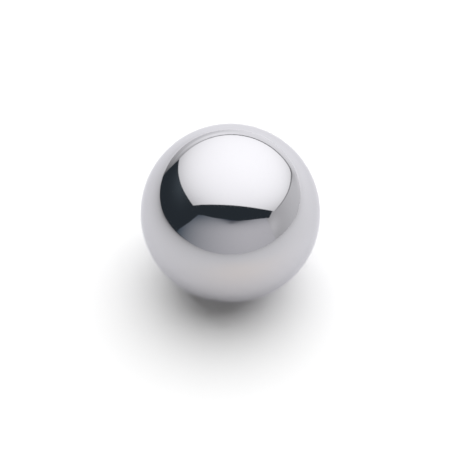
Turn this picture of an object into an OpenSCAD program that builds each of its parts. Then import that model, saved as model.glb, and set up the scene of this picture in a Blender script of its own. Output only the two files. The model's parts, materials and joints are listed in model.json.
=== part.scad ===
// Steel ball: one solid sphere of steel, ground, lapped and polished to a mirror.
// Units are millimetres. The origin is the centre of the ball, and +Z is up.
// The ball touches what it lies on at one point, a radius below the origin.

/* [Ball] */
// Diameter across the ball, 25.4 mm being the one inch stock size
ball_diameter = 25.4; // [3:0.1:100]

/* [Hidden] */
// Fragments round the equator where the sphere is drawn as a mesh
$fn = 180;

// The ball itself, the same all round, with no flat, hole, seam or pole mark
module ball() {
    color("silver")
        sphere(d = ball_diameter);
}

ball();
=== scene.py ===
"""A mirror-polished steel ball on a white sheet, in a small table-top studio.

Lengths are metres in the frame of the part: the origin is the centre of the ball, +Z is up, and the camera
stands at the -Y side and looks down on the ball, as in the photograph. A mirror ball shows the room round
it, so most of its look is in the set: a white sheet, a softbox overhead, two white cards, a backdrop, a wall
and a dark room. The ball mirrors all of it, and the camera itself sees only the sheet. The cards, the
backdrop, the wall, the softbox's rim and the dark room glow with painted light and shade, which no lamp
casts, and mirrors see painted pools of light on the sheet.
"""

import json
import math
from collections import namedtuple

import bmesh
import bpy
from mathutils import Matrix, Vector


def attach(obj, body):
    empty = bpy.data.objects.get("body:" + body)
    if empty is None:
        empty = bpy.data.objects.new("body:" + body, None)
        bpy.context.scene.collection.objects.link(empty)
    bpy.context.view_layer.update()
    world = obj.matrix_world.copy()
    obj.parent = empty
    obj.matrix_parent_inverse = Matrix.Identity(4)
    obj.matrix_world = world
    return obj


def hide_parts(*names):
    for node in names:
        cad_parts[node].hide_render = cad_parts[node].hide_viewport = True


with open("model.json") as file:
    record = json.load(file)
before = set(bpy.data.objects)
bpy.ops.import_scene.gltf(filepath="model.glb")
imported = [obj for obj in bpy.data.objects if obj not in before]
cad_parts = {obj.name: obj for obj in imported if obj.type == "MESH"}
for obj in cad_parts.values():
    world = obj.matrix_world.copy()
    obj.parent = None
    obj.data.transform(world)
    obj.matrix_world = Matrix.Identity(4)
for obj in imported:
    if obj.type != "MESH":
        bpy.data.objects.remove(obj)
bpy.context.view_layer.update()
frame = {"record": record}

MILLIMETRE = 0.001

# The ball, as the record's mount gives it, and how many faces lie along each edge of its six patches
MOUNTS = {mount["name"]: mount for mount in frame["record"]["mounts"]}
BALL_RADIUS = MOUNTS["sphere"]["dims"]["r_mm"] * MILLIMETRE
FACE_DIVISIONS = 96

# The photograph's frame, in which the ball's outline is a circle of this centre and radius, in pixels
FRAME_PIXELS = 450
BALL_CENTRE_PIXEL = (230.35, 213.24)
BALL_RADIUS_PIXELS = 90.15

# The camera
CAMERA_DISTANCE = 0.45
CAMERA_ELEVATION = math.radians(50)
SENSOR_WIDTH = 0.036

# The steel: its colour, face on and near the outline, and how rough the polish leaves it
STEEL_COLOUR = (0.535, 0.530, 0.557)
STEEL_EDGE_TINT = (0.78, 0.78, 0.80)
STEEL_ROUGHNESS = 0.045

# A pattern in the polish: the length, width and depth of its features, how many finer octaves they hold, and
# how far it changes the steel's tone, its roughness and the height of its surface
Pattern = namedtuple("Pattern", "size octaves tone roughness height")
CLOUDS = Pattern((0.0045, 0.0045, 0.0045), octaves=4, tone=0.03, roughness=0.02, height=1.2e-6)
GRAIN = Pattern((0.00014, 0.00014, 0.00014), octaves=2, tone=0.03, roughness=0.015, height=3e-8)
HAIRLINES = Pattern((0.006, 0.00013, 0.00013), octaves=1, tone=-0.03, roughness=0.04, height=-2e-8)
# How the hairlines are turned, above which noise a hairline starts, and how steeply it rises from there
HAIRLINE_TURNS = ((0.3, 0.5, 0.2), (1.1, 0.2, 1.9), (0.6, 1.4, 2.9), (0.2, 2.3, 0.9))
HAIRLINE_LEVEL = 0.20
HAIRLINE_EDGE = 12.0

# The light on the sheet: a wide, soft, slightly cool lamp that leans back and to the right, and an even,
# warmer fill. Together they are a plain level of white light, at which a colour shows as it is written
KEY_STRENGTH = 3.27
KEY_COLOUR = (0.987, 0.987, 1)
KEY_SPREAD = math.radians(100.6)
KEY_LEAN_RIGHT = math.radians(8.3)
KEY_LEAN_BACK = math.radians(22.0)
FILL_LIGHT = (0.059, 0.059, 0.047)

# A bell: where some light has its peak, and how far before and after the peak half of it is left
Bell = namedtuple("Bell", "peak before after")
# A hill of painted light on a set piece: its brightest colour, where 1 is white, and its bells across and
# along the piece. fan is how much wider the bell across is for each metre along. Negative light is a painted
# soft shadow
Hill = namedtuple("Hill", "light across along fan", defaults=[0])
NO_LIGHT = (0, 0, 0)


def grey(level):
    """The colour of an even level of light."""
    return (level, level, level)


# The white sheet that the ball lies on
FLOOR = -BALL_RADIUS
SHEET_LEFT = -0.300
SHEET_RIGHT = 0.390
SHEET_FRONT = -0.285
SHEET_BACK = 0.285
SHEET = (
    (-0.380, SHEET_FRONT),
    (SHEET_RIGHT, SHEET_FRONT),
    (SHEET_RIGHT, SHEET_BACK),
    (-0.310, SHEET_BACK),
    (SHEET_LEFT, 0.030),
    (-0.360, -0.060),
)
SHEET_WHITE = grey(0.98)
# The camera sees the sheet lighter by this, so that it is as white as in the photograph under plain light
SHEET_CAMERA_GAIN = 1.184
# Mirrors see painted light in the sheet's colour: the softbox's pool of light, the light near the ball and a
# warm patch
SHEET_LIGHT = (
    Hill(grey(4.68), Bell(0.05, 0.24, 0.44), Bell(2.2, 1.5, 1.6), fan=3.8),
    Hill(grey(0.27), Bell(-0.01, 0.04, 0.10), Bell(0.07, 0.06, 0.11)),
    Hill(grey(0.37), Bell(0, 0.015, 0.012), Bell(0, 0.011, 0.023)),
    Hill((0.05, 0.005, -0.04), Bell(0.006, 0.018, 0.022), Bell(-0.034, 0.030, 0.014)),
)

# The softbox: its plane's distance from the ball, and how it leans, turns and rolls
SOFTBOX_DISTANCE = 0.114
SOFTBOX_LEAN = math.radians(18.5)
SOFTBOX_TURN = math.radians(10.7)
SOFTBOX_ROLL = math.radians(-2.4)
# Its lit face, whose near, left and right edges bow a little, in its own X and Y
SOFTBOX_LEFT = -0.200
SOFTBOX_RIGHT = 0.245
SOFTBOX_NEAR = -0.132
SOFTBOX_FAR = 0.182
SOFTBOX_FACE = (
    (-0.194, SOFTBOX_NEAR),
    (-0.120, -0.129),
    (0.020, -0.129),
    (0.130, SOFTBOX_NEAR),
    (0.251, SOFTBOX_NEAR),
    (SOFTBOX_RIGHT, -0.090),
    (SOFTBOX_RIGHT, 0.000),
    (0.242, 0.050),
    (0.236, 0.110),
    (0.233, 0.157),
    (0.219, 0.179),
    (0.190, SOFTBOX_FAR),
    (-0.203, SOFTBOX_FAR),
    (SOFTBOX_LEFT, 0.000),
)
SOFTBOX_LIGHT = (
    Hill((1.81, 1.81, 1.80), Bell(0.02, 0.23, 0.29), Bell(0.03, 0.26, 0.55)),
)
# Its dark rim, which lies just behind the face and shows past its far and right edges. Its grey is painted
# light: the rim glows, though no lamp lights it
RIM_SETBACK = 0.001
RIM = (
    (-0.100, -0.120),
    (0.258, -0.130),
    (0.258, 0.060),
    (0.256, 0.120),
    (0.261, 0.185),
    (0.247, 0.205),
    (0.020, 0.200),
    (-0.120, 0.193),
    (-0.190, 0.187),
)
RIM_SHADE = grey(0.32)

# The card that stands along the sheet's front edge, which glows with painted light, with a bluish painted
# shade and a painted shadow at its top edge
FRONT_CARD = (
    (-0.660, FLOOR),
    (SHEET_RIGHT, FLOOR),
    (SHEET_RIGHT, 0.259),
    (0.250, 0.256),
    (0.160, 0.248),
    (0.105, 0.247),
    (0.072, 0.243),
    (0.045, 0.246),
    (0.005, 0.261),
    (-0.050, 0.263),
    (-0.150, 0.276),
    (-0.280, 0.305),
    (-0.360, 0.310),
    (-0.440, 0.188),
    (-0.600, 0.052),
)
# A bluish painted shade, which shows most at the card's dim left end
FRONT_CARD_SHADE = (0, 0.035, 0.070)
FRONT_CARD_LIGHT = (
    Hill((0.76, 0.72, 0.70), Bell(0.17, 0.46, 0.90), Bell(0.12, 0.45, 0.16)),
    # A painted shadow at the card's top edge
    Hill(grey(-0.80), Bell(0.045, 0.090, 0.090), Bell(0.298, 0.050, 0.050)),
    # A thin painted shade just under the top edge
    Hill(grey(-0.14), Bell(0.009, 0.028, 0.030), Bell(0.223, 0.011, 0.012)),
    # A little painted light at the top, near the card's right end
    Hill(grey(0.05), Bell(0.33, 0.08, 0.06), Bell(0.235, 0.060, 0.060)),
)

# The card that stands along the sheet's right edge, which glows with painted light, with more painted light
# at its front end and at the foot of its far end, and a painted shadow just above that foot
RIGHT_CARD = (
    (SHEET_FRONT, FLOOR),
    (SHEET_BACK, FLOOR),
    (SHEET_BACK, 0.320),
    (-0.150, 0.320),
    (-0.165, 0.229),
    (-0.190, 0.229),
    (-0.248, 0.222),
    (SHEET_FRONT, 0.259),
)
RIGHT_CARD_LIGHT = (
    Hill(grey(0.91), Bell(0.24, 0.57, 0.57), Bell(-0.02, 0.56, 0.56)),
    Hill(grey(0.22), Bell(-0.245, 0.070, 0.070), Bell(0.128, 0.074, 0.074)),
    Hill(grey(0.10), Bell(-0.285, 0.035, 0.035), Bell(0.06, 0.14, 0.14)),
    Hill(grey(0.25), Bell(0.30, 0.10, 0.10), Bell(-0.010, 0.022, 0.022)),
    # A painted shadow low at the card's far end
    Hill(grey(-0.20), Bell(0.285, 0.060, 0.060), Bell(0.075, 0.030, 0.030)),
)

# The backdrop along the sheet's back edge, which is lower at its left end. It glows with painted light: a
# broad pool, a thin bright stripe low down and light along its foot, with a painted shadow at its foot
BACKDROP = (
    (-0.375, FLOOR),
    (SHEET_RIGHT, FLOOR),
    (SHEET_RIGHT, 0.250),
    (-0.220, 0.250),
    (-0.220, 0.150),
    (-0.264, 0.079),
    (-0.303, 0.056),
    (-0.331, 0.031),
    (-0.355, 0.002),
)
BACKDROP_LIGHT = (
    Hill(grey(1.36), Bell(0.06, 0.24, 0.41), Bell(0.11, 0.21, 0.19)),
    Hill(grey(0.34), Bell(-0.08, 0.17, 0.08), Bell(0.036, 0.008, 0.024)),
    # A painted shadow at the foot of the backdrop
    Hill(grey(-0.18), Bell(-0.04, 0.07, 0.05), Bell(0.009, 0.019, 0.004)),
    Hill(grey(0.30), Bell(0.09, 0.38, 1.60), Bell(-0.007, 0.060, 0.027)),
)

# The unlit room round the set, which glows with an even painted shade, and the wall just inside it at the
# left, which glows with a little painted light
ROOM_REACH = 1.20
ROOM_SHADE = (0.033, 0.042, 0.050)
WALL_LEFT = -1.19
WALL_REACH = 1.15
WALL = (
    (-WALL_REACH, -WALL_REACH),
    (WALL_REACH, -WALL_REACH),
    (WALL_REACH, WALL_REACH),
    (-WALL_REACH, WALL_REACH),
)
WALL_LIGHT = (
    Hill((0.037, 0.045, 0.050), Bell(0.30, 0.36, 0.60), Bell(0.66, 0.22, 0.30)),
)

RIGHTWARDS = Vector((1, 0, 0))
AWAY = Vector((0, 1, 0))
UP = Vector((0, 0, 1))


def link(piece):
    """Puts a new object into the scene."""
    bpy.context.scene.collection.objects.link(piece)
    return piece


def feed(tree, socket, value):
    """Gives a socket a plain value, or another node's output."""
    if isinstance(value, bpy.types.NodeSocket):
        tree.links.new(value, socket)
    else:
        socket.default_value = value


def calculate(tree, operation, *values):
    """One step of arithmetic between nodes."""
    node = tree.nodes.new("ShaderNodeMath")
    node.operation = operation
    for socket, value in zip(node.inputs, values):
        feed(tree, socket, value)
    return node.outputs["Value"]


def scaled(tree, colour, share):
    """A colour times a share."""
    node = tree.nodes.new("ShaderNodeVectorMath")
    node.operation = "SCALE"
    feed(tree, node.inputs["Vector"], colour)
    feed(tree, node.inputs["Scale"], share)
    return node.outputs["Vector"]


def combined(tree, operation, *colours):
    """One step of arithmetic between two colours."""
    node = tree.nodes.new("ShaderNodeVectorMath")
    node.operation = operation
    for socket, colour in zip(node.inputs, colours):
        feed(tree, socket, colour)
    return node.outputs["Vector"]


def share_left(tree, place, bell):
    """How much of a bell's peak is left at a place, which is a half at the distances that the bell gives."""
    offset = calculate(tree, "SUBTRACT", place, bell.peak)
    before = calculate(tree, "DIVIDE", calculate(tree, "MINIMUM", offset, 0.0), bell.before)
    after = calculate(tree, "DIVIDE", calculate(tree, "MAXIMUM", offset, 0.0), bell.after)
    ratio = calculate(tree, "ADD", before, after)
    square = calculate(tree, "MULTIPLY", ratio, ratio)
    return calculate(tree, "POWER", 0.5, square)


def light_map(tree, shade, hills):
    """The painted light of a set piece: its even painted shade and its hills of painted light, nowhere
    darker than the room.
    """
    place = tree.nodes.new("ShaderNodeTexCoord").outputs["Object"]
    axes = tree.nodes.new("ShaderNodeSeparateXYZ")
    tree.links.new(place, axes.inputs["Vector"])
    distance = calculate(tree, "ABSOLUTE", axes.outputs["Y"])
    total = shade
    for hill in hills:
        widening = calculate(tree, "MULTIPLY_ADD", distance, hill.fan, 1.0)
        across = calculate(tree, "DIVIDE", axes.outputs["X"], widening)
        left_across = share_left(tree, across, hill.across)
        left_along = share_left(tree, axes.outputs["Y"], hill.along)
        share = calculate(tree, "MULTIPLY", left_across, left_along)
        total = combined(tree, "ADD", total, scaled(tree, hill.light, share))
    return combined(tree, "MAXIMUM", total, ROOM_SHADE)


def new_material(name):
    """A new material, with the nodes that Blender gives it."""
    material = bpy.data.materials.new(name)
    material.use_nodes = True
    return material


def surface_of(material, shader_type):
    """Makes one plain shader the whole surface of a material."""
    tree = material.node_tree
    tree.nodes.clear()
    shader = tree.nodes.new(shader_type)
    output = tree.nodes.new("ShaderNodeOutputMaterial")
    tree.links.new(shader.outputs[0], output.inputs["Surface"])
    return shader


def glow_material(name, shade, hills=()):
    """A surface of painted light and shade: it shows a brightness of its own, whatever lights it."""
    material = new_material(name)
    glow = surface_of(material, "ShaderNodeEmission")
    if hills:
        feed(material.node_tree, glow.inputs["Color"], light_map(material.node_tree, shade, hills))
    else:
        glow.inputs["Color"].default_value = (*shade, 1)
    return material


def flat_piece(name, outline, place, material):
    """A flat set piece: an outline in its own X and Y, put in its place."""
    mesh = bpy.data.meshes.new(name)
    mesh.from_pydata([(across, along, 0) for across, along in outline], [], [range(len(outline))])
    mesh.materials.append(material)
    piece = link(bpy.data.objects.new(name, mesh))
    piece.matrix_world = place
    return piece


def mirrored_only(piece):
    """Makes a set piece show in mirrors only, so that it neither lights nor shades anything."""
    piece.visible_camera = False
    piece.visible_diffuse = False
    piece.visible_shadow = False


def place_of(origin, right, up):
    """Where a flat piece lies: its origin, and the directions of its own X and Y."""
    turn = Matrix((right, up, right.cross(up))).transposed().to_4x4()
    return Matrix.Translation(origin) @ turn


def make_camera():
    """The photograph's camera, aimed so that the ball comes out at its place and size in the frame."""
    data = bpy.data.cameras.new("camera")
    camera = link(bpy.data.objects.new("camera", data))
    outline_slope = math.tan(math.asin(BALL_RADIUS / CAMERA_DISTANCE))
    focal_pixels = BALL_RADIUS_PIXELS / outline_slope
    data.sensor_width = SENSOR_WIDTH / MILLIMETRE
    data.lens = focal_pixels / FRAME_PIXELS * data.sensor_width

    back = UP * math.sin(CAMERA_ELEVATION) - AWAY * math.cos(CAMERA_ELEVATION)
    picture_up = UP * math.cos(CAMERA_ELEVATION) + AWAY * math.sin(CAMERA_ELEVATION)
    metres_per_pixel = CAMERA_DISTANCE / focal_pixels
    ball_right = (BALL_CENTRE_PIXEL[0] - FRAME_PIXELS / 2) * metres_per_pixel
    ball_up = (FRAME_PIXELS / 2 - BALL_CENTRE_PIXEL[1]) * metres_per_pixel
    aim = -ball_right * RIGHTWARDS - ball_up * picture_up
    camera.location = back * CAMERA_DISTANCE
    camera.rotation_mode = "QUATERNION"
    camera.rotation_quaternion = (aim - camera.location).to_track_quat("-Z", "Y")
    bpy.context.scene.camera = camera


def make_key_light():
    """The soft light on the sheet. The ball mirrors the softbox in its place."""
    data = bpy.data.lights.new("key_light", "SUN")
    data.energy = KEY_STRENGTH
    data.color = KEY_COLOUR
    data.angle = KEY_SPREAD
    lamp = link(bpy.data.objects.new("key_light", data))
    towards = Vector((math.tan(KEY_LEAN_RIGHT), math.tan(KEY_LEAN_BACK), 1))
    lamp.rotation_mode = "QUATERNION"
    lamp.rotation_quaternion = towards.to_track_quat("Z", "Y")
    lamp.visible_glossy = False


def make_world():
    """The fill light, and white for cameras, mirrors and glass."""
    world = bpy.data.worlds.new("world")
    bpy.context.scene.world = world
    world.use_nodes = True
    tree = world.node_tree
    rays = tree.nodes.new("ShaderNodeLightPath").outputs
    seen = calculate(tree, "MAXIMUM", rays["Is Camera Ray"], rays["Is Glossy Ray"])
    seen = calculate(tree, "MAXIMUM", seen, rays["Is Transmission Ray"])
    light = combined(tree, "MAXIMUM", seen, FILL_LIGHT)
    tree.links.new(light, tree.nodes["Background"].inputs["Color"])


def sphere_of_quads(name, radius, divisions):
    """A sphere with exact normals. It is a cube, whose faces are divided and pushed out to the radius."""
    build = bmesh.new()
    bmesh.ops.create_cube(build, size=2)
    bmesh.ops.subdivide_edges(build, edges=build.edges, cuts=divisions - 1, use_grid_fill=True)
    for vertex in build.verts:
        spread = Vector(math.tan(part * math.pi / 4) for part in vertex.co)
        vertex.co = spread.normalized() * radius
    for face in build.faces:
        face.smooth = True
    mesh = bpy.data.meshes.new(name)
    build.to_mesh(mesh)
    build.free()
    mesh.normals_split_custom_set_from_vertices([vertex.co.normalized() for vertex in mesh.vertices])
    return link(bpy.data.objects.new(name, mesh))


def noise(tree, place, pattern, turn=(0, 0, 0)):
    """A pattern's noise, of about -0.5 to 0.5. Its features lie along turned axes."""
    mapping = tree.nodes.new("ShaderNodeMapping")
    mapping.vector_type = "TEXTURE"
    mapping.inputs["Rotation"].default_value = turn
    mapping.inputs["Scale"].default_value = pattern.size
    tree.links.new(place, mapping.inputs["Vector"])
    texture = tree.nodes.new("ShaderNodeTexNoise")
    texture.inputs["Scale"].default_value = 1.0
    texture.inputs["Detail"].default_value = pattern.octaves
    tree.links.new(mapping.outputs["Vector"], texture.inputs["Vector"])
    return calculate(tree, "SUBTRACT", texture.outputs["Fac"], 0.5)


def hairlines(tree, place):
    """Faint lapping marks, which run several ways: 1 in the middle of a mark and 0 between them."""
    marks = 0.0
    for turn in HAIRLINE_TURNS:
        streak = noise(tree, place, HAIRLINES, turn)
        over = calculate(tree, "SUBTRACT", streak, HAIRLINE_LEVEL)
        mark = calculate(tree, "MULTIPLY", over, HAIRLINE_EDGE)
        marks = calculate(tree, "MAXIMUM", marks, mark)
    return calculate(tree, "MINIMUM", marks, 1.0)


def steel_material():
    """Hard steel, lapped and polished until it mirrors, with the last marks of the lapping left in it."""
    material = new_material("polished_steel")
    tree = material.node_tree
    shader = tree.nodes["Principled BSDF"]
    shader.inputs["Metallic"].default_value = 1.0
    shader.inputs["Specular Tint"].default_value = (*STEEL_EDGE_TINT, 1)

    place = tree.nodes.new("ShaderNodeTexCoord").outputs["Object"]
    patterns = (
        (CLOUDS, noise(tree, place, CLOUDS)),
        (GRAIN, noise(tree, place, GRAIN)),
        (HAIRLINES, hairlines(tree, place)),
    )
    tone = 1.0
    roughness = STEEL_ROUGHNESS
    height = 0.0
    for pattern, strength in patterns:
        tone = calculate(tree, "MULTIPLY_ADD", strength, pattern.tone, tone)
        roughness = calculate(tree, "MULTIPLY_ADD", strength, pattern.roughness, roughness)
        height = calculate(tree, "MULTIPLY_ADD", strength, pattern.height, height)

    tree.links.new(scaled(tree, STEEL_COLOUR, tone), shader.inputs["Base Color"])
    tree.links.new(roughness, shader.inputs["Roughness"])
    bump = tree.nodes.new("ShaderNodeBump")
    bump.inputs["Distance"].default_value = 1.0
    tree.links.new(height, bump.inputs["Height"])
    tree.links.new(bump.outputs["Normal"], shader.inputs["Normal"])
    return material


def make_ball():
    """The ball itself, which stands for its CAD solid."""
    ball = sphere_of_quads("steel_ball", BALL_RADIUS, FACE_DIVISIONS)
    ball.data.materials.append(steel_material())
    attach(ball, "root")
    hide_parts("ball")


def sheet_material():
    """White matt paper, which mirrors see with pools of light painted into its colour."""
    material = new_material("white_sheet")
    tree = material.node_tree
    paper = surface_of(material, "ShaderNodeBsdfDiffuse")
    rays = tree.nodes.new("ShaderNodeLightPath").outputs
    mirrored = rays["Is Glossy Ray"]
    direct = calculate(tree, "SUBTRACT", 1.0, mirrored)
    gain = calculate(tree, "MULTIPLY_ADD", rays["Is Camera Ray"], SHEET_CAMERA_GAIN - 1, direct)
    white = scaled(tree, SHEET_WHITE, gain)
    # The painted pools of light, which only glossy rays see in the paper's colour
    pools = scaled(tree, light_map(tree, NO_LIGHT, SHEET_LIGHT), mirrored)
    tree.links.new(combined(tree, "ADD", white, pools), paper.inputs["Color"])
    return material


def make_sheet():
    """The sheet under the ball."""
    flat_piece("white_sheet", SHEET, Matrix.Translation(FLOOR * UP), sheet_material())


def softbox_place(setback):
    """Where the softbox lies, or a piece that far behind it. Its X runs to the right and its Y away."""
    sideways = RIGHTWARDS * math.sin(SOFTBOX_TURN) + AWAY * math.cos(SOFTBOX_TURN)
    normal = sideways * math.sin(SOFTBOX_LEAN) + UP * math.cos(SOFTBOX_LEAN)
    away = (AWAY - normal.y * normal).normalized()
    roll = Matrix.Rotation(SOFTBOX_ROLL, 3, normal)
    return place_of(normal * (SOFTBOX_DISTANCE + setback), roll @ away.cross(normal), roll @ away)


def make_softbox():
    """The large lit panel over the ball, with a thin dark rim along its far and right edges, whose grey glow
    is painted light.
    """
    face_glow = glow_material("softbox_glow", NO_LIGHT, SOFTBOX_LIGHT)
    mirrored_only(flat_piece("softbox", SOFTBOX_FACE, softbox_place(0), face_glow))
    rim_glow = glow_material("rim_glow", RIM_SHADE)
    mirrored_only(flat_piece("softbox_rim", RIM, softbox_place(RIM_SETBACK), rim_glow))


def make_upright(name, outline, origin, right, shade, hills):
    """A set piece that stands upright and glows with painted light and shade."""
    glow = glow_material(name + "_glow", shade, hills)
    mirrored_only(flat_piece(name, outline, place_of(origin, right, UP), glow))


def make_uprights():
    """The pieces that stand round the sheet, all glowing with painted light and shade: two cards, the
    backdrop and the wall.
    """
    front = SHEET_FRONT * AWAY
    right = SHEET_RIGHT * RIGHTWARDS
    back = SHEET_BACK * AWAY
    left = WALL_LEFT * RIGHTWARDS
    make_upright("front_card", FRONT_CARD, front, RIGHTWARDS, FRONT_CARD_SHADE, FRONT_CARD_LIGHT)
    make_upright("right_card", RIGHT_CARD, right, AWAY, NO_LIGHT, RIGHT_CARD_LIGHT)
    make_upright("backdrop", BACKDROP, back, RIGHTWARDS, NO_LIGHT, BACKDROP_LIGHT)
    make_upright("wall", WALL, left, AWAY, ROOM_SHADE, WALL_LIGHT)


def make_dark_room():
    """The unlit room, far outside the set, which glows with an even painted shade."""
    mesh = bpy.data.meshes.new("dark_room")
    build = bmesh.new()
    bmesh.ops.create_cube(build, size=2 * ROOM_REACH)
    build.to_mesh(mesh)
    build.free()
    mesh.materials.append(glow_material("dark_room_glow", ROOM_SHADE))
    room = link(bpy.data.objects.new("dark_room", mesh))
    mirrored_only(room)


make_camera()
make_key_light()
make_world()
make_ball()
make_sheet()
make_softbox()
make_uprights()
make_dark_room()
bpy.context.scene.view_settings.view_transform = "Standard"
